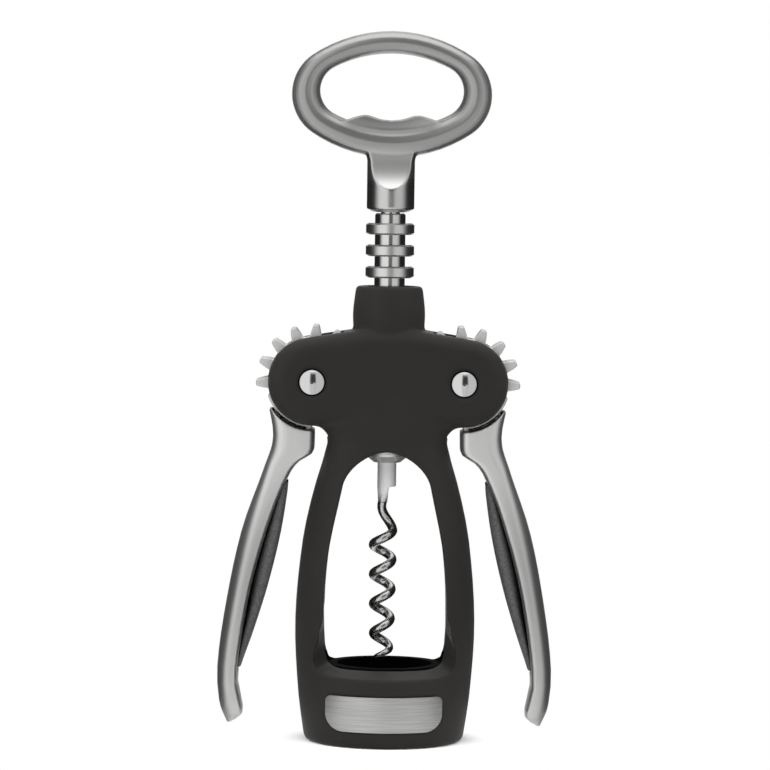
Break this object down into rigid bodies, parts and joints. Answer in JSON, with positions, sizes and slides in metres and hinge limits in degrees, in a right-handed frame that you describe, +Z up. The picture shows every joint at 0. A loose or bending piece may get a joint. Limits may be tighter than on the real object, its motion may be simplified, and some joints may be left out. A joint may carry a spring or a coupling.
{
  "type": "wing corkscrew",
  "caption": "Wing corkscrew with a bell frame, ringed rack, toothed levers with soft inserts, a worm and a ring handle with a bottle opener.",
  "frame": {"origin": "middle of the bottom rim, in the plane that stands on the bottle's shoulder", "axes": "+Z up along the stem and worm, front face with the badge towards -Y, levers spread along X"},
  "size_m": [0.0886, 0.0464, 0.1877],
  "materials": {
    "soft_touch": "soft-touch matte charcoal coating",
    "collar_plastic": "moulded matte",
    "badge_metal": "brushed",
    "lever_metal": "satin nickel plate",
    "insert_rubber": "matte soft grip",
    "pin_chrome": "polished",
    "stem_metal": "satin",
    "worm_metal": "polished dark chrome",
    "handle_metal": "satin nickel plate"
  },
  "bodies": {
    "frame": {"frame": "soft_touch", "bottle_collar": "collar_plastic", "badge": "badge_metal", "left_pin": "pin_chrome", "right_pin": "pin_chrome", "left_pin_cap": "pin_chrome", "right_pin_cap": "pin_chrome"},
    "rack": {"rack_sleeve": "stem_metal"},
    "handle": {"handle": "handle_metal", "spindle": "stem_metal", "ferrule": "stem_metal", "worm": "worm_metal"},
    "left_lever": {"left_lever": "lever_metal", "left_lever_insert": "insert_rubber"},
    "right_lever": {"right_lever": "lever_metal", "right_lever_insert": "insert_rubber"}
  },
  "joints": [
    {"name": "rack_slide", "type": "slide", "parent": "frame", "child": "rack", "axis": [0, 0, -1], "range_m": [0, 0.031]},
    {"name": "handle_spin", "type": "hinge", "parent": "rack", "child": "handle", "pos_m": [0, 0, 0.14], "axis": [0, 0, 1], "continuous": true},
    {"name": "left_lever_swing", "type": "hinge", "parent": "frame", "child": "left_lever", "pos_m": [-0.02001, 0, 0.0953], "axis": [0, 1, 0], "range_deg": [0, 130.6]},
    {"name": "right_lever_swing", "type": "hinge", "parent": "frame", "child": "right_lever", "pos_m": [0.02001, 0, 0.0953], "axis": [0, -1, 0], "range_deg": [0, 130.6]}
  ],
  "couplings": [
    {"joint": "left_lever_swing", "follows": "rack_slide", "rad_per_m": 73.488},
    {"joint": "right_lever_swing", "follows": "rack_slide", "rad_per_m": 73.488}
  ]
}
